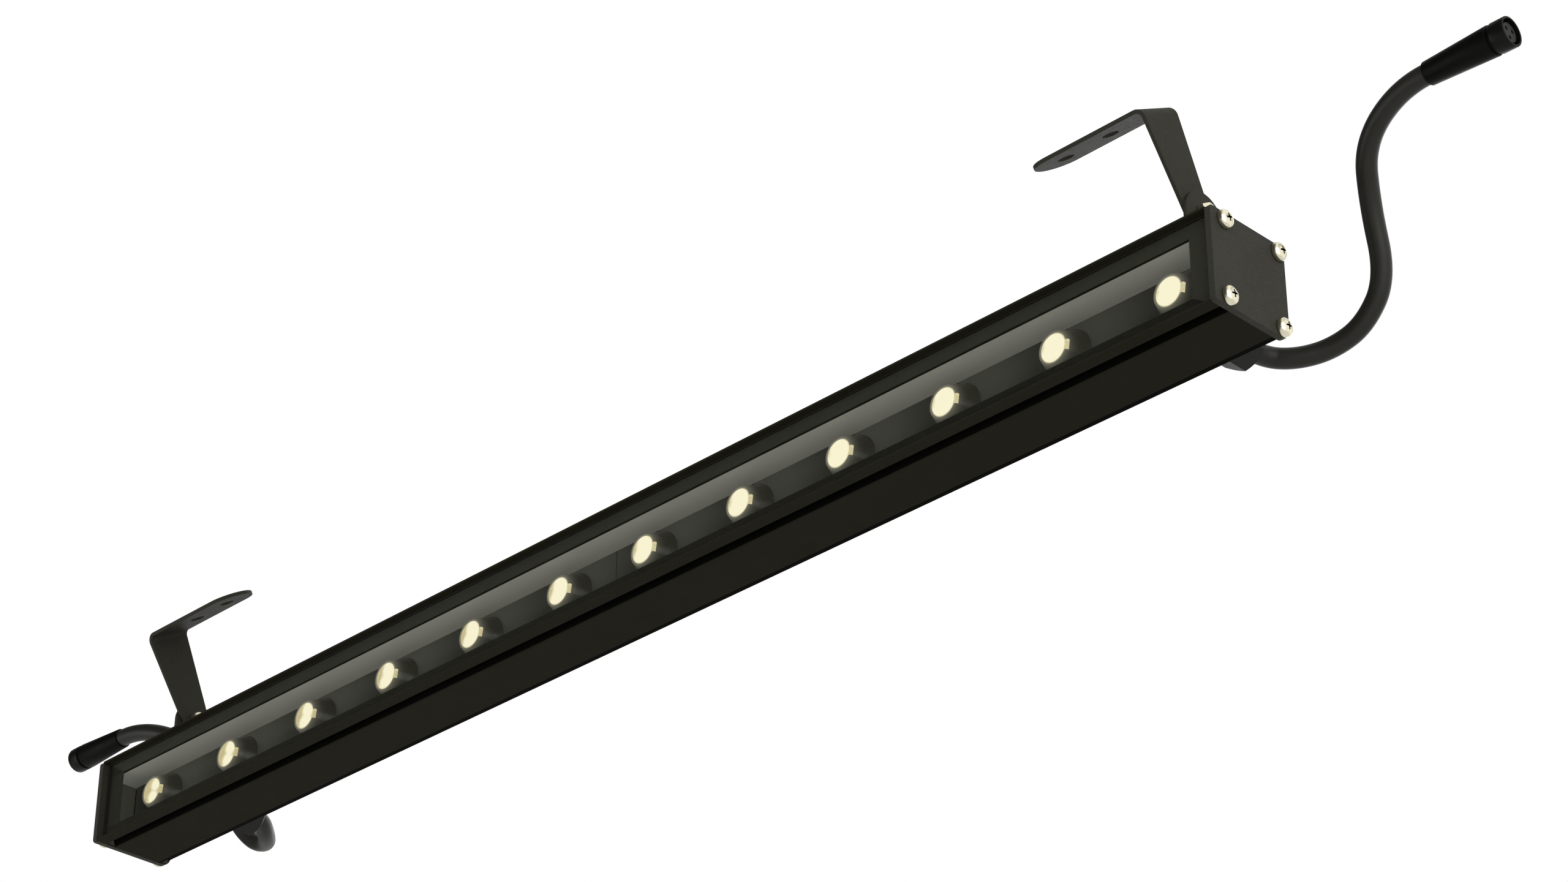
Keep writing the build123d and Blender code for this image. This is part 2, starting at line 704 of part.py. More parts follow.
def socket_insert():
    height = RING_LENGTH - SOCKET_FLOOR - SOCKET_SET_BACK
    insert = bar(SOCKET_INSERT, height, SMALL_SIDES)
    hole = bar(SOCKET_HOLE, SOCKET_DEPTH, CONTACT_SIDES)
    for place in contact_places():
        insert -= Pos(0, 0, height - SOCKET_DEPTH) * place * hole
    return on_connector(SLEEVE_LENGTH + NECK_LENGTH + SOCKET_FLOOR) * insert


def pin_insert():
    height = RING_LENGTH - SOCKET_FLOOR - PIN_INSERT_DEPTH
    insert = bar(RING_BORE, height, SMALL_SIDES)
    return on_connector(SLEEVE_LENGTH + NECK_LENGTH + SOCKET_FLOOR) * insert


def contact_pins():
    length = PIN_INSERT_DEPTH - PIN_SET_BACK
    start = SLEEVE_LENGTH + NECK_LENGTH + RING_LENGTH - PIN_INSERT_DEPTH
    pin = bar(PIN_RADIUS, length, CONTACT_SIDES)
    return group([on_connector(start) * place * pin for place in contact_places()])


# ---------------------------------------------------------------- the whole light

def build():
    nodes = {
        "housing_extrusion": housing_extrusion(),
        "front_glass": front_glass(),
        "glass_border": glass_border(),
        "glass_bead": glass_bead(),
        "cavity_liners": cavity_liners(),
        "led_chips": all_leds(led_chip()),
        "lens_holders": all_leds(lens_holder()),
        "lenses": all_leds(lens()),
    }
    paired = {
        "end_cap": end_cap(),
        "end_gasket": end_gasket(),
        "cap_screws": cap_screws(),
        "led_board": led_board(),
        "bracket": bracket(),
        "ear": ear(),
        "ear_screws": ear_screws(),
        "pivot_bolt": pivot_bolt(),
        "pivot_nut": pivot_nut(),
        "gland_washer": gland_washer(),
        "gland_body": gland_body(),
        "gland_locknut": gland_locknut(),
        "gland_nut": gland_nut(),
        "gland_seal": gland_seal(),
        "cable_tail": cable_tail(),
        "cable": cable(),
        "connector_sleeve": connector_sleeve(),
        "connector_ring": connector_ring(),
    }
    for name, shape in paired.items():
        nodes[name + "_right"] = shape
        nodes[name + "_left"] = left_of(shape)
    nodes["connector_insert_right"] = socket_insert()
    nodes["connector_insert_left"] = left_of(pin_insert())
    nodes["connector_pins_left"] = left_of(contact_pins())
    return nodes


def fixing_point():
    """Point midway between the feet, on the plane that they are screwed to."""
    lean = math.radians(BRACKET_ANGLE)
    y = PIVOT_Y - BRACKET_REACH * math.sin(lean)
    z = PIVOT_Z + BRACKET_REACH * math.cos(lean)
    return Vector(0, y, z)


os.makedirs("parts", exist_ok=True)
fixing = fixing_point()
print("fixing point in housing axes:", fixing)
for node, solid in build().items():
    export_step(Location(-fixing) * solid, f"parts/{node}.step")
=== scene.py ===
import math

import bpy
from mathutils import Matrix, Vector


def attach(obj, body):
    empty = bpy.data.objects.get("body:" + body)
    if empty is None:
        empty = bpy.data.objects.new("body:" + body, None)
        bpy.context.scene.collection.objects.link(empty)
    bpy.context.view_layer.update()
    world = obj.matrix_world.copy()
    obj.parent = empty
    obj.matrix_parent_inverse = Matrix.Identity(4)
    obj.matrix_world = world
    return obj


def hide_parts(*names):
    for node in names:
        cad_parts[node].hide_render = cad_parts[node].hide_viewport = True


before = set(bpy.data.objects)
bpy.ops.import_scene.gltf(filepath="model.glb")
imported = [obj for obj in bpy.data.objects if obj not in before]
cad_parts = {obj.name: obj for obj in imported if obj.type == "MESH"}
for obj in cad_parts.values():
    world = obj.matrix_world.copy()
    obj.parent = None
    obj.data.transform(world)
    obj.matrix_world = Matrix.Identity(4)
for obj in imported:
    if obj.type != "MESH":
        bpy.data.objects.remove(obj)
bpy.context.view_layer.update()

# Outdoor wall washer light. Sizes are in millimetres in the light's own axes, as in the CAD:
# X along the housing from its middle, Y from the front edges to the back, Z up from the
# underside. place() turns them into metres in the shared frame.

MM = 0.001
FIX_Y = 7.22803             # from the light's own origin to the shared one
FIX_Z = 76.4846

# Housing
HALF_LENGTH = 250.0
DEPTH = 31.7
HEIGHT = 30.1
WALL_THICK = 5.0            # top and bottom walls of the LED chamber
CHAMBER_FRONT = 4.25        # just behind the flange that the glass is bonded to
BOARD_FACE = 14.4           # front of the LED boards, at the back of the chamber
CAP_SCREWS = [(5.5, 2.9), (5.5, 27.2), (28.6, 2.9), (28.6, 27.2)]   # Y and Z of each
CAP_SCREW_TWISTS = [0.18, 0.35, 0.10, 0.28]     # each stopped at a turn of its own, in radians

# LEDs, the same to the right and left of the middle
LED_PITCH = 41.81
LED_PLACES = [19.25 + LED_PITCH * step for step in range(6)]
LED_Z = 15.05
LENS_RADIUS = 4.5
HOLDER_HEIGHT = 7.0

# Hinge
PIVOT_Y = 23.75
PIVOT_Z = 45.8
LEG_INNER = 227.45          # inner face of the bracket leg
EAR_OUTER = 230.0
PLATE_GAP = 0.05            # between the leg and the bolt's head
EAR_TOP = 31.35             # top face of the ear's foot
EAR_SCREWS = [(235.4, 21.25), (241.9, 21.25)]   # X and Y of each

# Glands
GLAND_FLATS = 14.0
GLAND_WASHER = 1.0
GLAND_FLANGE = 3.8
GLAND_NUT = 11.7
GLAND_X = 223.0
GLAND_Z = 16.7
GLAND_END = DEPTH + GLAND_WASHER + GLAND_FLANGE + GLAND_NUT

# Leads: points of each one's middle line, outwards from the mouth of its gland. Their first
# bends differ, and the rest of the route is the same.
LEAD_RADIUS = 3.1
LEAD_STARTS = {
    1: [(0.0, 0.0, 0.0), (0.0, 7.2, 0.0), (7.6, 12.6, -1.4), (16.4, 17.8, 0.5)],
    -1: [(0.0, 0.0, 0.0), (0.4, 3.5, -0.5), (6.0, 9.9, -1.9), (15.6, 17.8, 0.0)],
}
LEAD_ROUTE = [
    (26.7, 19.5, 4.7),
    (36.0, 18.1, 15.4),
    (39.0, 9.3, 34.2),
    (46.7, -2.0, 45.8),
    (64.0, -8.0, 52.65),
    (73.8, -8.0, 52.65),
]

# Connectors: where the right lead ends, and how far past that their parts start
PLUG = [gland + run for gland, run in zip((GLAND_X, GLAND_END, GLAND_Z), LEAD_ROUTE[-1])]
RING_AT = 22.9
INSERT_AT = 23.9
PINS_AT = 24.9
CONTACT_CIRCLE = 1.6        # radius
CONTACT_ANGLES = [math.tau * step / 3 for step in range(3)]

# The two ends, and the turns that stand a piece made up +Z along another way
SIDES = {"right": 1, "left": -1}
OUTWARD = {1: (0, math.pi / 2, 0), -1: (0, -math.pi / 2, 0)}
TO_FRONT = (math.pi / 2, 0, 0)
TO_BACK = (-math.pi / 2, 0, 0)
UPRIGHT = (0, 0, 0)
TAB_TURN = (0, 0, math.radians(-9))     # the lens tab points a little below level
ORIGIN = (0, 0, 0)

POINT = 0.05                # radius that closes a round piece at its middle
WELD = 1e-6                 # metres within which two corners are one

# Studio, in metres
CAMERA_PLACE = (0.77794, -0.69731, -0.61767)
CAMERA_TURN = (math.radians(120), 0, math.radians(45))
CAMERA_LENS = 87.885        # in mm, fitted to the straight edges in the photo
FLOOR_SPAN = 16
FLOOR_Z = -2.2              # well below, as the light hangs high on its wall
FLOOR_LIFT = 0.35           # brings the floor up to white
SKY_LEVEL = 0.42            # even light on the object from all round
BACKDROP_WAY = (0.45, 0.89, 0)
DIM_SIDE = 0.06             # of the studio in front of the light, against the backdrop's 1


def place(x, y, z):
    """Metres in the shared frame, from millimetres in the light's own axes."""
    return Vector((x, y - FIX_Y, z - FIX_Z)) * MM


# ------------------------------------------------------------------ camera, floor and light

bpy.ops.object.select_all(action="DESELECT")
bpy.ops.object.camera_add(location=CAMERA_PLACE, rotation=CAMERA_TURN)
camera = bpy.context.object
camera.name = "camera"
camera.data.sensor_width = 36
camera.data.lens = CAMERA_LENS
camera.data.clip_start = 0.01
bpy.context.scene.camera = camera
bpy.context.scene.view_settings.view_transform = "Standard"


def linear(code):
    """Linear colour from an sRGB hex code."""
    channels = [int(code[i:i + 2], 16) / 255 for i in (1, 3, 5)]
    return [c / 12.92 if c <= 0.04045 else ((c + 0.055) / 1.055) ** 2.4 for c in channels] + [1]


def add(tree, kind, links=None, **settings):
    """Adds a shader node. Links are its sockets by name or number: values, or other sockets."""
    node = tree.nodes.new(kind)
    for name, value in settings.items():
        setattr(node, name, value)
    for socket, value in (links or {}).items():
        if isinstance(value, bpy.types.NodeSocket):
            tree.links.new(value, node.inputs[socket])
        else:
            node.inputs[socket].default_value = value
    return node


def seen_rays(tree):
    """The Light Path node, and 1 for its rays that show a surface: straight to the camera,
    mirrored or through glass."""
    ray = add(tree, "ShaderNodeLightPath")
    seen = ray.outputs["Is Camera Ray"]
    for name in ("Is Glossy Ray", "Is Transmission Ray"):
        seen = add(tree, "ShaderNodeMath", {0: seen, 1: ray.outputs[name]},
                   operation="MAXIMUM").outputs[0]
    return ray, seen


world = bpy.data.worlds.new("studio")
bpy.context.scene.world = world
world.use_nodes = True
sky = world.node_tree
sky.nodes.clear()
ray, seen = seen_rays(sky)
# Reflections find the white backdrop behind the light, and the dim side of the studio in front.
way = add(sky, "ShaderNodeTexCoord")
behind = add(sky, "ShaderNodeVectorMath", {0: way.outputs["Generated"], 1: BACKDROP_WAY},
             operation="DOT_PRODUCT")
mirrored = add(sky, "ShaderNodeMapRange",
               {"Value": behind.outputs["Value"], "From Min": -0.45, "From Max": 0.35,
                "To Min": DIM_SIDE, "To Max": 1.0}, interpolation_type="SMOOTHSTEP")
shown = add(sky, "ShaderNodeMix", {0: ray.outputs["Is Glossy Ray"], 2: 1.0,
                                   3: mirrored.outputs["Result"]})
level = add(sky, "ShaderNodeMix", {0: seen, 2: SKY_LEVEL, 3: shown.outputs[0]})
glow = add(sky, "ShaderNodeBackground", {"Color": linear("#ffffff"),
                                         "Strength": level.outputs[0]})
add(sky, "ShaderNodeOutputWorld", {"Surface": glow.outputs[0]})


def softbox(name, spot, aim, width, watts):
    """A large square lamp aimed at a point, in metres."""
    bpy.ops.object.light_add(type="AREA", location=spot)
    lamp = bpy.context.object
    lamp.name = name
    lamp.rotation_euler = (Vector(aim) - Vector(spot)).to_track_quat("-Z", "Y").to_euler()
    lamp.data.shape = "SQUARE"
    lamp.data.size = width
    lamp.data.energy = watts


softbox("lamp_right", spot=(0.8, -0.25, -0.03), aim=(0.22, 0, -0.05), width=0.6, watts=2.0)
softbox("lamp_front", spot=(-0.6, -0.65, -0.2), aim=(-0.2, 0, -0.05), width=0.6, watts=2.2)
softbox("lamp_back", spot=(-0.6, 2.4, 0.9), aim=(0, 0, -0.05), width=1.6, watts=11)

bpy.ops.mesh.primitive_plane_add(size=FLOOR_SPAN, location=(0, 0, FLOOR_Z))
floor = bpy.context.object
floor.name = "floor"
bpy.ops.object.transform_apply(location=True, rotation=True, scale=True)


# ------------------------------------------------------------------ how materials are built

def material(name, colour, roughness, specular, metallic=0.0):
    """A Principled material with its fixed values, and the nodes that the rest builds on."""
    made = bpy.data.materials.new(name)
    made.use_nodes = True
    tree = made.node_tree
    shader = tree.nodes["Principled BSDF"]
    shader.inputs["Base Color"].default_value = linear(colour)
    shader.inputs["Roughness"].default_value = roughness
    shader.inputs["Specular IOR Level"].default_value = specular
    shader.inputs["Metallic"].default_value = metallic
    return made, tree, shader, add(tree, "ShaderNodeTexCoord")


def cloudy(tree, where, size_mm, low, high):
    """Colour that drifts between two codes in soft patches of a size in millimetres."""
    noise = add(tree, "ShaderNodeTexNoise", {"Vector": where, "Scale": 1 / (size_mm * MM),
                                             "Detail": 3, "Roughness": 0.55})
    return add(tree, "ShaderNodeMix", {"Factor": noise.outputs[0], 6: linear(low),
                                       7: linear(high)}, data_type="RGBA").outputs[2]


def bumps(tree, where, size_mm, depth_mm, strength):
    """A normal roughened by grains of a size and depth in millimetres."""
    grains = add(tree, "ShaderNodeTexNoise", {"Vector": where, "Scale": 1 / (size_mm * MM),
                                              "Detail": 2})
    return add(tree, "ShaderNodeBump", {"Height": grains.outputs[0], "Strength": strength,
                                        "Distance": depth_mm * MM}).outputs[0]


def uneven(tree, where, size_mm, low, high):
    """Roughness that drifts between two values in patches of a size in millimetres."""
    noise = add(tree, "ShaderNodeTexNoise", {"Vector": where, "Scale": 1 / (size_mm * MM),
                                             "Detail": 2})
    return add(tree, "ShaderNodeMapRange", {"Value": noise.outputs[0], "To Min": low,
                                            "To Max": high}).outputs[0]


def powder_coat(name, low, high, specular, grain_mm, depth_mm):
    """Baked powder coat: the melted grains leave a fine leathery skin with a dull sheen."""
    made, tree, shader, where = material(name, low, 0.55, specular)
    spot = where.outputs["Object"]
    tree.links.new(cloudy(tree, spot, 14, low, high), shader.inputs["Base Color"])
    tree.links.new(uneven(tree, spot, 3, 0.48, 0.62), shader.inputs["Roughness"])
    tree.links.new(bumps(tree, spot, grain_mm, depth_mm, 0.9), shader.inputs["Normal"])
    return made


def plain_surface(name, low, high, roughness, specular, patch_mm, skin_mm, depth_mm,
                  metallic=0.0):
    """A surface with drifting colour and gloss, and a fine skin from how it was made."""
    made, tree, shader, where = material(name, low, roughness, specular, metallic)
    spot = where.outputs["Object"]
    tree.links.new(cloudy(tree, spot, patch_mm, low, high), shader.inputs["Base Color"])
    tree.links.new(uneven(tree, spot, patch_mm / 3, roughness * 0.85, roughness * 1.15),
                   shader.inputs["Roughness"])
    tree.links.new(bumps(tree, spot, skin_mm, depth_mm, 0.6), shader.inputs["Normal"])
    return made


def recoloured(made, code, share):
    """Turns a material's own colour to another by a share that comes from a node."""
    tree = made.node_tree
    base = tree.nodes["Principled BSDF"].inputs["Base Color"]
    own = base.links[0].from_socket
    both = add(tree, "ShaderNodeMix", {"Factor": share, 6: own, 7: linear(code)},
               data_type="RGBA")
    tree.links.new(both.outputs[2], base)


def glowing(made, code, strength):
    """Gives a material light of its own in one colour, its strength from a node."""
    shader = made.node_tree.nodes["Principled BSDF"]
    shader.inputs["Emission Color"].default_value = linear(code)
    made.node_tree.links.new(strength, shader.inputs["Emission Strength"])


def inside(tree, **limits):
    """1 inside of limits and 0 outside. Each is an axis with its least and most value in mm
    in the light's own axes. X counts from the middle to either end."""
    where = add(tree, "ShaderNodeTexCoord")
    split = add(tree, "ShaderNodeSeparateXYZ", {0: where.outputs["Object"]})
    share = 1.0
    for axis, (least, most) in limits.items():
        fix = {"X": 0, "Y": FIX_Y, "Z": FIX_Z}[axis]
        value = split.outputs[axis]
        if axis == "X":
            value = add(tree, "ShaderNodeMath", {0: value}, operation="ABSOLUTE").outputs[0]
        for operation, limit in (("GREATER_THAN", least), ("LESS_THAN", most)):
            test = add(tree, "ShaderNodeMath", {0: value, 1: (limit - fix) * MM},
                       operation=operation)
            share = add(tree, "ShaderNodeMath", {0: test.outputs[0], 1: share},
                        operation="MULTIPLY").outputs[0]
    return share


def painted_shade_within(made, code, channels):
    """Painted shade: another colour in channels along the profile and in their mirror images at
    its top. A channel is its limits in Y and in Z."""
    tree = made.node_tree
    whole = 0.0
    for depths, (low, high) in channels:
        for heights in ((low, high), (HEIGHT - high, HEIGHT - low)):
            one = inside(tree, Y=depths, Z=heights)
            whole = add(tree, "ShaderNodeMath", {0: one, 1: whole}, operation="ADD").outputs[0]
    recoloured(made, code, whole)


def painted_corner_shade(made, code, reach_mm):
    """Painted shade that darkens a metal in its corners and recesses, where shade falls."""
    tree = made.node_tree
    corner = add(tree, "ShaderNodeAmbientOcclusion", {"Distance": reach_mm * MM}, samples=8)
    share = add(tree, "ShaderNodeMapRange", {"Value": corner.outputs["AO"], "From Min": 0.45,
                                             "From Max": 0.9, "To Min": 1.0, "To Max": 0.0})
    recoloured(made, code, share.outputs[0])


def fading_light(made, code, axis, near, far, every_mm=0.0):
    """The LEDs' light on a surface of the chamber, fading along an axis from near to far, each
    a place in mm with its strength. With a spacing, the places count from each LED."""
    tree = made.node_tree
    where = add(tree, "ShaderNodeTexCoord")
    split = add(tree, "ShaderNodeSeparateXYZ", {0: where.outputs["Object"]})
    along = split.outputs[axis]
    fix = FIX_Y if axis == "Y" else 0
    if every_mm:
        shifted = add(tree, "ShaderNodeMath", {0: along, 1: -LED_PLACES[0] * MM},
                      operation="ADD")
        along = add(tree, "ShaderNodeMath", {0: shifted.outputs[0], 1: every_mm * MM},
                    operation="FLOORED_MODULO").outputs[0]
    strength = add(tree, "ShaderNodeMapRange",
                   {"Value": along, "From Min": (near[0] - fix) * MM,
                    "From Max": (far[0] - fix) * MM, "To Min": near[1], "To Max": far[1]},
                   interpolation_type="SMOOTHSTEP")
    glowing(made, code, strength.outputs[0])


def low_iron_glass():
    """Flat float glass with a coat that cuts its reflections, so the inside shows plainly."""
    made = bpy.data.materials.new("coated_float_glass")
    made.use_nodes = True
    tree = made.node_tree
    tree.nodes.clear()
    through = add(tree, "ShaderNodeBsdfTransparent", {"Color": linear("#fdfdfb")})
    gloss = add(tree, "ShaderNodeBsdfGlossy", {"Roughness": 0.02})
    edge = add(tree, "ShaderNodeLayerWeight", {"Blend": 0.5})
    steep = add(tree, "ShaderNodeMath", {0: edge.outputs["Facing"], 1: 4.0}, operation="POWER")
    share = add(tree, "ShaderNodeMath", {0: steep.outputs[0], 1: 0.3}, operation="MULTIPLY")
    both = add(tree, "ShaderNodeMixShader", {0: share.outputs[0], 1: through.outputs[0],
                                             2: gloss.outputs[0]})
    add(tree, "ShaderNodeOutputMaterial", {"Surface": both.outputs[0]})
    return made


def holder_plastic():
    """Black moulded plastic, lit round its mouth by the light that spills from the lens. U of
    the holder's map is the distance from the lens's axis in mm."""
    made, tree, shader, where = material("glossy_black_holder", "#26261f", 0.3, 0.25)
    mouth, dark = 4.6, 7.4      # radii between which the light fades
    split = add(tree, "ShaderNodeSeparateXYZ", {0: where.outputs["UV"]})
    near = add(tree, "ShaderNodeMapRange", {"Value": split.outputs[0], "From Min": mouth,
                                            "From Max": dark, "To Min": 1.0, "To Max": 0.0})
    soft = add(tree, "ShaderNodeMath", {0: near.outputs[0], 1: 3.2}, operation="POWER")
    spill = add(tree, "ShaderNodeMath", {0: soft.outputs[0], 1: 0.33, 2: 0.02},
                operation="MULTIPLY_ADD")
    glowing(made, "#cfccb8", spill.outputs[0])
    spot = where.outputs["Object"]
    tree.links.new(bumps(tree, spot, 0.7, 0.02, 0.5), shader.inputs["Normal"])
    tree.links.new(uneven(tree, spot, 2, 0.2, 0.32), shader.inputs["Roughness"])
    return made


def lit_lens():
    """Moulded acrylic over a lit LED: a bright patch on a tan face, and a dim rim. The lens's
    map is its face in mm."""
    made, tree, shader, where = material("lit_moulded_acrylic", "#1c1a12", 0.15, 0.1)
    face = where.outputs["UV"]
    # The bright patch is two round lobes that run together, and reaches further on each lens
    # towards the light's right end.
    split = add(tree, "ShaderNodeSeparateXYZ", {0: where.outputs["Object"]})
    reach = add(tree, "ShaderNodeMapRange", {"Value": split.outputs[0], "From Min": -0.22,
                                             "From Max": 0.1, "To Min": 2.3, "To Max": 5.6})
    upper = add(tree, "ShaderNodeVectorMath", {0: face, 1: (2.2, 1.8, 0)}, operation="DISTANCE")
    lower = add(tree, "ShaderNodeVectorMath", {0: face, 1: (0.8, -2.7, 0)},
                operation="DISTANCE")
    nearer = add(tree, "ShaderNodeMath", {0: upper.outputs["Value"],
                                          1: lower.outputs["Value"], 2: 1.2},
                 operation="SMOOTH_MIN")
    within = add(tree, "ShaderNodeMath", {0: reach.outputs[0], 1: nearer.outputs[0]},
                 operation="SUBTRACT")
    bright = add(tree, "ShaderNodeMapRange", {"Value": within.outputs[0], "From Min": -0.9,
                                              "From Max": 0.5})
    radius = add(tree, "ShaderNodeVectorMath", {0: face}, operation="LENGTH")
    rim = add(tree, "ShaderNodeMapRange",
              {"Value": radius.outputs["Value"], "From Min": LENS_RADIUS - 0.3,
               "From Max": LENS_RADIUS - 0.05, "To Min": 1, "To Max": 0.2})
    # The chip's own pattern, magnified by the lens, mottles the tan.
    facets = add(tree, "ShaderNodeTexVoronoi", {"Vector": face, "Scale": 1.6})
    tan = add(tree, "ShaderNodeMix", {"Factor": facets.outputs["Distance"],
                                      6: linear("#b9ad80"), 7: linear("#d6cba0")},
              data_type="RGBA")
    share = add(tree, "ShaderNodeMath", {0: bright.outputs[0], 1: rim.outputs[0]},
                operation="MULTIPLY")
    colour = add(tree, "ShaderNodeMix", {"Factor": share.outputs[0], 6: tan.outputs[2],
                                         7: linear("#fdf7d9")}, data_type="RGBA")
    tree.links.new(colour.outputs[2], shader.inputs["Emission Color"])
    shader.inputs["Emission Strength"].default_value = 1.0
    return made


# ------------------------------------------------------------------ materials

# The end plates: charcoal powder coat, its grain drawn at half a millimetre so that it shows.
CHARCOAL_COAT = powder_coat("charcoal_powder_coat", "#3d3c35", "#45443d", specular=0.1,
                            grain_mm=0.5, depth_mm=0.6)
# Their inner faces close the chamber and catch the LEDs' light.
glowing(CHARCOAL_COAT, "#2a2a25",
        inside(CHARCOAL_COAT.node_tree, X=(0, HALF_LENGTH - 0.2),
               Y=(CHAMBER_FRONT, BOARD_FACE), Z=(WALL_THICK, HEIGHT - WALL_THICK)))
# The brackets and ears have the same coat, laid on thinner.
BRACKET_COAT = powder_coat("charcoal_bracket_coat", "#37362e", "#3f3e36", specular=0.06,
                           grain_mm=0.5, depth_mm=0.25)
# The long extrusion has the same coat, smoother; its darker colour is painted shade, a shaded
# copy of the end plates' coat.
SHADED_PROFILE_COAT = powder_coat("shaded_profile_coat", "#2a2920", "#2f2d24", specular=0.01,
                           grain_mm=0.5, depth_mm=0.02)
# Its grooves and rebates are painted near black: painted shade, where they sit in shadow.
LONG_GROOVE = ((4.0, 8.3), (0.3, 4.5))
BACK_REBATE = ((26.3, 31.5), (-0.1, 4.5))
painted_shade_within(SHADED_PROFILE_COAT, "#0a0a07", [LONG_GROOVE, BACK_REBATE])

CLEAR_GLASS = low_iron_glass()
# Ceramic ink fired on the back of the glass: even, dark and a little soft at its edge.
BORDER_INK = plain_surface("black_ceramic_ink", "#3c3c35", "#40403a", roughness=0.35,
                           specular=0.05, patch_mm=20, skin_mm=1.5, depth_mm=0.01)
# Silicone squeezed along the lips and wiped: dull black with a slow wave in it.
SEALANT = plain_surface("black_silicone_bead", "#2a2a25", "#302f2a", roughness=0.5,
                        specular=0.1, patch_mm=8, skin_mm=4.0, depth_mm=0.05)
# Satin enamel on folded reflector strip: pale grey and smooth, it scatters the LEDs' light.
LINER_PAINT = plain_surface("grey_satin_enamel", "#7d7c75", "#85847d", roughness=0.4,
                            specular=0.3, patch_mm=30, skin_mm=2.0, depth_mm=0.01)
fading_light(LINER_PAINT, "#6e6e69", "Y", near=(CHAMBER_FRONT, 0.72), far=(BOARD_FACE, 0.4))
# Solder mask on a metal-core board: dark lacquer, lit between the LEDs.
SOLDER_MASK = plain_surface("black_solder_mask", "#24241f", "#2a2a25", roughness=0.3,
                            specular=0.4, patch_mm=12, skin_mm=3.0, depth_mm=0.02)
fading_light(SOLDER_MASK, "#4b4b45", "X", near=(9, 0.42), far=(38, 0.08), every_mm=LED_PITCH)
# Rubber of the end gaskets: matt black. Its edge in the chamber catches the LEDs' light too.
END_RUBBER = plain_surface("black_end_gasket", "#1e1e1a", "#24241f", roughness=0.7,
                           specular=0.15, patch_mm=6, skin_mm=0.6, depth_mm=0.03)
fading_light(END_RUBBER, "#2e2e29", "Y", near=(CHAMBER_FRONT, 1.0), far=(BOARD_FACE, 0.9))
# Silicone with yellow phosphor over the LED's die: matt and grainy.
PHOSPHOR = plain_surface("yellow_phosphor", "#e8c54a", "#f0d060", roughness=0.5,
                         specular=0.3, patch_mm=1, skin_mm=0.3, depth_mm=0.01)
HOLDER_PLASTIC = holder_plastic()
LIT_LENS = lit_lens()
# Nylon of the glands: moulded, dull and slightly pitted.
GLAND_NYLON = plain_surface("dark_moulded_nylon", "#22221e", "#292924", roughness=0.5,
                            specular=0.2, patch_mm=10, skin_mm=0.5, depth_mm=0.03)
# Rubber of the glands' washers and seals: matt black with mould bloom.
GASKET_RUBBER = plain_surface("black_gasket_rubber", "#161613", "#1e1e1a", roughness=0.7,
                              specular=0.15, patch_mm=6, skin_mm=0.6, depth_mm=0.03)
# The lead's jacket: extruded rubber with a soft sheen and faint drawing marks.
LEAD_RUBBER = plain_surface("black_rubber_jacket", "#23221d", "#2c2b26", roughness=0.42,
                            specular=0.26, patch_mm=9, skin_mm=0.7, depth_mm=0.03)
# The connector's overmoulded sleeve: dense soft plastic, nearly black.
SLEEVE_RUBBER = plain_surface("black_overmoulding", "#0a0a08", "#10100c", roughness=0.45,
                              specular=0.07, patch_mm=8, skin_mm=0.6, depth_mm=0.03)
# Its coupling ring: harder and a touch glossier.
RING_PLASTIC = plain_surface("black_glass_filled_nylon", "#0e0e0b", "#151511", roughness=0.4,
                             specular=0.12, patch_mm=6, skin_mm=0.5, depth_mm=0.02)
# The contact block: dull grey moulding.
BLOCK_PLASTIC = plain_surface("dark_grey_contact_block", "#24231f", "#2a2925", roughness=0.5,
                              specular=0.2, patch_mm=3, skin_mm=0.3, depth_mm=0.02)
# Stainless steel of the screws: bright and cream in warm light, tumbled smooth.
SCREW_STEEL = plain_surface("polished_stainless_steel", "#e9e2c6", "#f3eed6", roughness=0.28,
                            specular=0.5, patch_mm=1.5, skin_mm=0.4, depth_mm=0.01,
                            metallic=1.0)
# Painted shade in the screws' recesses and corners.
painted_corner_shade(SCREW_STEEL, "#1c1b16", reach_mm=0.9)
# Brass contacts, turned and plated: yellow and bright.
CONTACT_BRASS = plain_surface("bright_brass", "#d8b35a", "#e2c06b", roughness=0.2,
                              specular=0.5, patch_mm=1, skin_mm=0.2, depth_mm=0.005,
                              metallic=1.0)
# Painted concrete floor of the studio, which looks white and still takes the object's shadow.
FLOOR_PAINT = plain_surface("pale_floor_paint", "#ececea", "#f2f2f0", roughness=0.6,
                            specular=0.2, patch_mm=400, skin_mm=30, depth_mm=0.1)
ray, seen = seen_rays(FLOOR_PAINT.node_tree)
lift = add(FLOOR_PAINT.node_tree, "ShaderNodeMath", {0: seen, 1: FLOOR_LIFT},
           operation="MULTIPLY")
glowing(FLOOR_PAINT, "#ffffff", lift.outputs[0])
floor.data.materials.append(FLOOR_PAINT)


# ------------------------------------------------------------------ shaping

def only(piece):
    """Selects one object and nothing else, and makes it the active one."""
    bpy.ops.object.select_all(action="DESELECT")
    piece.select_set(True)
    bpy.context.view_layer.objects.active = piece


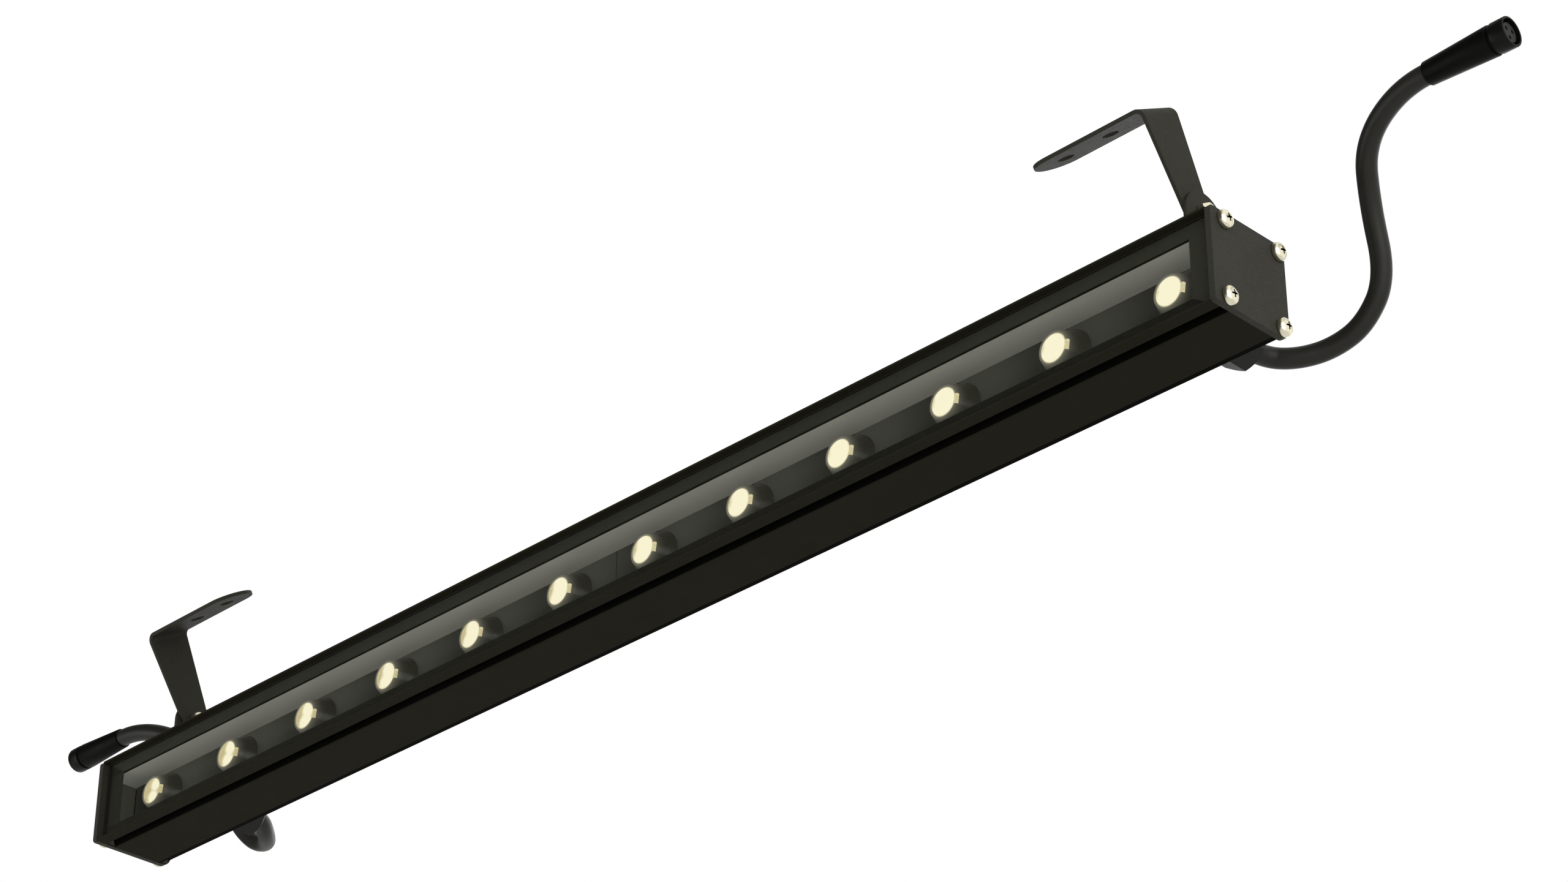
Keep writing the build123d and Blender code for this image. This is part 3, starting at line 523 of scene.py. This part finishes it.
def raised(name, rings, sides, hollow=False):
    """A round piece raised ring by ring up Z, each ring a radius and a height in mm.
    A hollow one's rings go round its wall and come back to the first."""
    radius, height = rings[0]
    bpy.ops.object.select_all(action="DESELECT")
    bpy.ops.mesh.primitive_circle_add(vertices=sides, radius=radius * MM,
                                      location=(0, 0, height * MM),
                                      fill_type="NOTHING" if hollow else "NGON")
    piece = bpy.context.object
    piece.name = name
    bpy.ops.object.transform_apply(location=True, rotation=True, scale=True)
    bpy.ops.object.mode_set(mode="EDIT")
    bpy.ops.mesh.select_all(action="SELECT")
    for next_radius, next_height in rings[1:]:
        rise = (0, 0, (next_height - height) * MM)
        bpy.ops.mesh.extrude_region_move(TRANSFORM_OT_translate={"value": rise})
        spread = next_radius / radius
        bpy.ops.transform.resize(value=(spread, spread, 1),
                                 center_override=(0, 0, next_height * MM))
        radius, height = next_radius, next_height
    bpy.ops.mesh.select_all(action="SELECT")
    bpy.ops.mesh.remove_doubles(threshold=WELD)
    bpy.ops.mesh.normals_make_consistent(inside=False)
    bpy.ops.object.mode_set(mode="OBJECT")
    return piece


def block(name, size, centre, taper=1.0):
    """A block in mm, its lower face drawn in by a share."""
    bpy.ops.object.select_all(action="DESELECT")
    bpy.ops.mesh.primitive_cube_add(size=MM, location=[c * MM for c in centre])
    piece = bpy.context.object
    piece.name = name
    piece.scale = size
    bpy.ops.object.transform_apply(location=True, rotation=True, scale=True)
    low = min(v.co.z for v in piece.data.vertices)
    for vertex in piece.data.vertices:
        vertex.select = vertex.co.z < low + WELD
    bpy.ops.object.mode_set(mode="EDIT")
    bpy.ops.transform.resize(value=(taper, taper, 1),
                             center_override=(centre[0] * MM, centre[1] * MM, low))
    bpy.ops.object.mode_set(mode="OBJECT")
    return piece


def cut(piece, cutter, operation="DIFFERENCE"):
    """Cuts one mesh with another, which is then removed."""
    only(piece)
    boolean = piece.modifiers.new("cut", "BOOLEAN")
    boolean.operation = operation
    boolean.solver = "EXACT"
    boolean.object = cutter
    bpy.ops.object.modifier_apply(modifier=boolean.name)
    bpy.data.objects.remove(cutter)


def eased(piece, width_mm, angle=30, segments=2):
    """Rounds the sharp edges, as moulding and tumbling leave them."""
    only(piece)
    ease = piece.modifiers.new("eased", "BEVEL")
    ease.width = width_mm * MM
    ease.segments = segments
    ease.limit_method = "ANGLE"
    ease.angle_limit = math.radians(angle)
    bpy.ops.object.modifier_apply(modifier=ease.name)


def hexagonal(name, flats, height, chamfer):
    """Hexagonal piece on Z with a corner on Y, its outer end turned to a chamfer."""
    corner = flats / math.sqrt(3)
    bpy.ops.object.select_all(action="DESELECT")
    bpy.ops.mesh.primitive_cylinder_add(vertices=6, radius=corner * MM, depth=height * MM,
                                        location=(0, 0, height / 2 * MM))
    piece = bpy.context.object
    piece.name = name
    bpy.ops.object.transform_apply(location=True, rotation=True, scale=True)
    # The turned blank breaks the lower corners a little and chamfers the upper ones.
    clear = corner + 0.1
    slope = 1.9 / 1.6           # inwards for each millimetre up
    turned = raised("turned", [(corner - 0.5, -0.01), (clear, 0.35), (clear, height - chamfer),
                               (corner - slope * chamfer, height + 0.01)], sides=96)
    cut(piece, turned, "INTERSECT")
    return piece


def placed(piece, turn, point):
    """Turns and moves a piece made round the origin, and keeps that in its mesh."""
    only(piece)
    piece.rotation_euler = turn
    piece.location = point
    bpy.ops.object.transform_apply(location=True, rotation=True, scale=True)
    return piece


def another(piece, name, turn, point, twist=0.0):
    """A copy of a master piece, twisted on its own axis, turned and put in its place."""
    only(piece)
    bpy.ops.object.duplicate()
    copy = bpy.context.object
    copy.name = name
    if twist:
        placed(copy, (0, 0, twist), ORIGIN)
    return placed(copy, turn, point)


def finished(piece, body, finish, stands_for=(), angle=35, flat_faces=False):
    """Shading and finish of a piece, its body, and the CAD nodes that it stands for."""
    only(piece)
    bpy.ops.object.shade_smooth_by_angle(angle=math.radians(angle))
    if flat_faces:
        level = piece.modifiers.new("level", "WEIGHTED_NORMAL")
        level.keep_sharp = True
        bpy.ops.object.modifier_apply(modifier=level.name)
    piece.data.materials.clear()
    piece.data.materials.append(finish)
    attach(piece, body)
    if stands_for:
        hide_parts(*stands_for)
    return piece


def mapped(piece, spread):
    """A UV map whose values come from each corner's place in mm on the piece at the origin."""
    layer = piece.data.uv_layers.active
    for loop in piece.data.loops:
        layer.data[loop.index].uv = spread(piece.data.vertices[loop.vertex_index].co / MM)


# ------------------------------------------------------------------ leads

def lead(name, side, node):
    """The rubber lead, from the mouth of its gland to the connector."""
    curve = bpy.data.curves.new(name, "CURVE")
    curve.dimensions = "3D"
    curve.resolution_u = 24
    curve.bevel_depth = LEAD_RADIUS * MM
    curve.bevel_resolution = 8
    curve.use_fill_caps = True
    spline = curve.splines.new("NURBS")
    route = LEAD_STARTS[side] + LEAD_ROUTE
    spline.points.add(len(route) - 1)
    for point, (x, y, z) in zip(spline.points, route):
        spot = place(side * (GLAND_X + x), GLAND_END + y, GLAND_Z + z)
        point.co = (*spot, 1)
    spline.order_u = 3
    spline.use_endpoint_u = True
    piece = bpy.data.objects.new(name, curve)
    bpy.context.scene.collection.objects.link(piece)
    curve.materials.append(LEAD_RUBBER)
    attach(piece, "light")
    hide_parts(node)


# ------------------------------------------------------------------ screws

def dome_rings(radius, rim, top):
    """Rings of a domed head from its rim to its top."""
    steps = 9
    rings = []
    for step in range(steps + 1):
        angle = math.pi / 2 * step / steps
        rings.append((max(radius * math.cos(angle), POINT), rim + (top - rim) * math.sin(angle)))
    return rings


def thread_rings(core, crest, length, pitch):
    """Rings of a threaded shank from its tip up to the underside of the head."""
    rings = [(core * 0.8, -length), (core, -length + pitch / 2)]
    for turn in range(1, int(length / pitch)):
        low = -length + pitch * turn
        rings += [(crest, low), (core, low + pitch / 2)]
    return rings


def cross_recess(piece, span, width, depth, top):
    """Cross-shaped driver recess in the top of a head, wider where its slots meet."""
    middle = width * 1.7
    centre = (0, 0, top - depth / 2 + 0.02)
    for size, taper in (((span, width, depth), 0.7), ((width, span, depth), 0.7),
                        ((middle, middle, depth), 0.6)):
        cut(piece, block("recess", size, centre, taper))


def pan_screw(name, head, rim, height, core, crest, length, pitch, span, width):
    """Pan head screw standing on its underside at zero. Its head, core and crest are radii,
    and the span and width are its recess's."""
    edge = 0.15                 # rounding under the head
    rings = thread_rings(core, crest, length, pitch)
    rings += [(core, 0), (head - edge, 0), (head, edge)]
    rings += dome_rings(head, rim, height)
    piece = raised(name, rings, sides=40)
    cross_recess(piece, span, width, height * 0.62, height)
    return piece


cap_screw = pan_screw("cap_screw", head=2.8, rim=1.1, height=2.4, core=1.05, crest=1.25,
                      length=8.0, pitch=0.5, span=3.4, width=0.8)
for end, side in SIDES.items():
    for number, ((y, z), twist) in enumerate(zip(CAP_SCREWS, CAP_SCREW_TWISTS), 1):
        screw = another(cap_screw, f"cap_screw_{end}_{number}", OUTWARD[side],
                        place(side * HALF_LENGTH, y, z), twist)
        finished(screw, "light", SCREW_STEEL, [f"cap_screws_{end}"])
    for number, (x, y) in enumerate(EAR_SCREWS, 1):
        screw = another(cap_screw, f"ear_screw_{end}_{number}", UPRIGHT,
                        place(side * x, y, EAR_TOP), twist=0.4 * number)
        finished(screw, "light", SCREW_STEEL, [f"ear_screws_{end}"])
bpy.data.objects.remove(cap_screw)

pivot_bolt = pan_screw("pivot_bolt", head=4.0, rim=1.2, height=3.1, core=1.75, crest=2.0,
                       length=5.0, pitch=0.7, span=4.4, width=0.9)
pivot_nut = hexagonal("pivot_nut", flats=7.0, height=2.4, chamfer=0.35)
cut(pivot_nut, raised("bore", [(2.0, -1), (2.0, 4)], sides=48))
eased(pivot_nut, 0.08, segments=1)
for end, side in SIDES.items():
    bolt = another(pivot_bolt, f"pivot_screw_{end}", OUTWARD[-side],
                   place(side * (LEG_INNER - PLATE_GAP), PIVOT_Y, PIVOT_Z))
    finished(bolt, "light", SCREW_STEEL, [f"pivot_bolt_{end}"])
    nut = another(pivot_nut, f"pivot_nut_{end}", OUTWARD[side],
                  place(side * EAR_OUTER, PIVOT_Y, PIVOT_Z), twist=math.pi / 2)
    finished(nut, "light", SCREW_STEEL, [f"pivot_nut_{end}"], flat_faces=True)
bpy.data.objects.remove(pivot_bolt)
bpy.data.objects.remove(pivot_nut)


# ------------------------------------------------------------------ lenses and holders

# From the tip next to the chip out to the flange, over its edge and across the lit face.
lens = raised("lens", [(2.6, 1.1), (3.2, 3.2), (3.9, 6.0), (4.45, 6.0), (LENS_RADIUS, 6.1),
                       (LENS_RADIUS, 6.85), (4.35, 7.0), (4.1, 6.98), (3.9, 6.86), (2.6, 6.95),
                       (1.2, 7.0), (POINT, 7.0)], sides=64)
tab = block("tab", size=(2.4, 3.0, 0.8), centre=(4.2, 0, 6.6))
cut(lens, placed(tab, TAB_TURN, ORIGIN), "UNION")
eased(lens, 0.08, angle=50, segments=1)
mapped(lens, lambda co: (co.x, co.y))

# Round the wall: out along the board, up the cone, over the mouth's lip and down the seat.
holder = raised("holder", [(3.95, 0), (8.2, 0), (8.35, 0.2), (5.45, 6.5), (5.35, 6.85),
                           (5.2, HOLDER_HEIGHT), (4.65, HOLDER_HEIGHT), (4.55, 6.9),
                           (4.55, 6.0), (3.95, 6.0), (3.95, 0)], sides=64, hollow=True)
notch = block("notch", size=(3.6, 3.1, 2.0), centre=(4.5, 0, 7.15))
cut(holder, placed(notch, TAB_TURN, ORIGIN))
mapped(holder, lambda co: (math.hypot(co.x, co.y), co.z / HOLDER_HEIGHT))

for index, x in enumerate([-x for x in reversed(LED_PLACES)] + LED_PLACES, 1):
    seat = place(x, BOARD_FACE, LED_Z)
    finished(another(lens, f"lens_{index}", TO_FRONT, seat), "light", LIT_LENS,
             ["lenses"])
    finished(another(holder, f"lens_holder_{index}", TO_FRONT, seat), "light", HOLDER_PLASTIC,
             ["lens_holders"])
bpy.data.objects.remove(lens)
bpy.data.objects.remove(holder)


# ------------------------------------------------------------------ glands

gland_nut = hexagonal("gland_nut", GLAND_FLATS, GLAND_NUT, chamfer=1.6)
cut(gland_nut, raised("bore", [(LEAD_RADIUS, -1), (LEAD_RADIUS, 6.7), (4.3, 6.7), (4.3, 13)],
                      sides=64))
eased(gland_nut, 0.2, angle=25)
gland_body = hexagonal("gland_flange", GLAND_FLATS, GLAND_FLANGE, chamfer=0.4)
thread = raised("thread", thread_rings(core=4.8, crest=5.2, length=9.0, pitch=1.2)
                + [(4.8, 0.05)], sides=64)
cut(gland_body, thread, "UNION")
cut(gland_body, raised("bore", [(LEAD_RADIUS, -12), (LEAD_RADIUS, 6)], sides=64))
eased(gland_body, 0.15, angle=40, segments=1)
washer = raised("washer", [(5.25, 0), (6.8, 0), (6.9, 0.12), (6.9, 0.88), (6.8, GLAND_WASHER),
                           (5.25, GLAND_WASHER), (5.25, 0)], sides=64, hollow=True)
for end, side in SIDES.items():
    finished(another(gland_nut, f"clamping_nut_{end}", TO_BACK,
                     place(side * GLAND_X, GLAND_END - GLAND_NUT, GLAND_Z)),
             "light", GLAND_NYLON, [f"gland_nut_{end}"], flat_faces=True)
    finished(another(gland_body, f"gland_flange_{end}", TO_BACK,
                     place(side * GLAND_X, DEPTH + GLAND_WASHER, GLAND_Z)),
             "light", GLAND_NYLON, [f"gland_body_{end}"])
    finished(another(washer, f"sealing_washer_{end}", TO_BACK,
                     place(side * GLAND_X, DEPTH, GLAND_Z)),
             "light", GASKET_RUBBER, [f"gland_washer_{end}"])
for master in (gland_nut, gland_body, washer):
    bpy.data.objects.remove(master)


# ------------------------------------------------------------------ connectors

# A long taper away from the lead, and a neck that goes into the ring.
sleeve = raised("sleeve", [(LEAD_RADIUS, 0), (3.45, 0.02), (3.6, 0.25), (4.6, 21.55),
                           (4.56, 21.8), (4.4, 21.9), (4.02, 21.9), (4.0, 22.0), (4.0, 22.9)],
                sides=72)
# Up the outside, over the mouth and down to the floor that carries the contacts.
ring = raised("ring", [(3.9, 0), (4.35, 0), (4.52, 0.12), (4.6, 0.35), (4.6, 4.7), (4.52, 4.92),
                       (4.35, 5.0), (4.05, 5.0), (3.93, 4.9), (3.9, 1.0), (POINT, 1.0)],
              sides=72)
socket_block = raised("socket_block", [(3.1, 0), (3.1, 3.0), (3.0, 3.18), (2.9, 3.2)], sides=64)
for angle in CONTACT_ANGLES:
    hole = raised("hole", [(0.55, 0.7), (0.55, 3.0), (0.7, 3.3)], sides=24)
    offset = Vector((math.cos(angle), math.sin(angle), 0)) * CONTACT_CIRCLE * MM
    cut(socket_block, placed(hole, UPRIGHT, offset))
pin_block = raised("pin_block", [(3.88, 0), (3.88, 0.85), (3.75, 1.0), (POINT, 1.0)], sides=64)
pin = raised("pin", [(0.45, 0), (0.45, 1.7), (0.36, 1.92), (0.2, 2.0)], sides=24)


def on_plug(side, distance):
    """A point on the connector's axis, a distance in mm past the end of the lead."""
    return place(side * (PLUG[0] + distance), PLUG[1], PLUG[2])


on_leads = {"right": [], "left": []}
for end, side in SIDES.items():
    on_leads[end].append(finished(
        another(sleeve, f"plug_sleeve_{end}", OUTWARD[side], on_plug(side, 0)),
        "light", SLEEVE_RUBBER, [f"connector_sleeve_{end}"]))
    on_leads[end].append(finished(
        another(ring, f"coupling_ring_{end}", OUTWARD[side], on_plug(side, RING_AT)),
        "light", RING_PLASTIC, [f"connector_ring_{end}"]))
for insert, end in ((socket_block, "right"), (pin_block, "left")):
    side = SIDES[end]
    on_leads[end].append(finished(
        another(insert, f"{insert.name}_{end}", OUTWARD[side], on_plug(side, INSERT_AT)),
        "light", BLOCK_PLASTIC, [f"connector_insert_{end}"]))
for number, angle in enumerate(CONTACT_ANGLES, 1):
    offset = Vector((0, math.sin(angle), math.cos(angle))) * CONTACT_CIRCLE * MM
    on_leads["left"].append(finished(
        another(pin, f"contact_pin_{number}", OUTWARD[-1], on_plug(-1, PINS_AT) + offset),
        "light", CONTACT_BRASS, ["connector_pins_left"]))
for master in (sleeve, ring, socket_block, pin_block, pin):
    bpy.data.objects.remove(master)

for end, side in SIDES.items():
    lead(f"lead_{end}", side, f"cable_{end}")


# ------------------------------------------------------------------ finishes of the CAD nodes

def softened(node, name, body, finish, width_mm):
    """A copy of a CAD node with its edges eased, as the coat leaves them."""
    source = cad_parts[node]
    piece = bpy.data.objects.new(name, source.data.copy())
    bpy.context.scene.collection.objects.link(piece)
    only(piece)
    bpy.ops.mesh.customdata_custom_splitnormals_clear()
    bpy.ops.object.mode_set(mode="EDIT")
    bpy.ops.mesh.select_all(action="SELECT")
    bpy.ops.mesh.remove_doubles(threshold=WELD)
    bpy.ops.mesh.dissolve_limited(angle_limit=math.radians(0.5))
    bpy.ops.object.mode_set(mode="OBJECT")
    eased(piece, width_mm, angle=35)
    finished(piece, body, finish, [node], angle=40, flat_faces=True)


softened("housing_extrusion", "housing_profile", "light", SHADED_PROFILE_COAT,
         width_mm=0.15)
for end in ("left", "right"):
    softened(f"end_cap_{end}", f"end_plate_{end}", "light", CHARCOAL_COAT,
             width_mm=0.2)
    softened(f"ear_{end}", f"pivot_ear_{end}", "light", BRACKET_COAT,
             width_mm=0.18)
    softened(f"bracket_{end}", f"wall_bracket_{end}", "brackets", BRACKET_COAT,
             width_mm=0.18)


def both_ends(name):
    """The names of a CAD node's left and right one."""
    return [f"{name}_left", f"{name}_right"]


FINISHES = [
    (CLEAR_GLASS, ["front_glass"]),
    (BORDER_INK, ["glass_border"]),
    (SEALANT, ["glass_bead"]),
    (LINER_PAINT, ["cavity_liners"]),
    (SOLDER_MASK, both_ends("led_board")),
    (PHOSPHOR, ["led_chips"]),
    (END_RUBBER, both_ends("end_gasket")),
    (GASKET_RUBBER, both_ends("gland_seal")),
    (GLAND_NYLON, both_ends("gland_locknut")),
    (LEAD_RUBBER, both_ends("cable_tail")),
]
for finish, names in FINISHES:
    for name in names:
        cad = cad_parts[name]
        cad.data.materials.clear()
        cad.data.materials.append(finish)
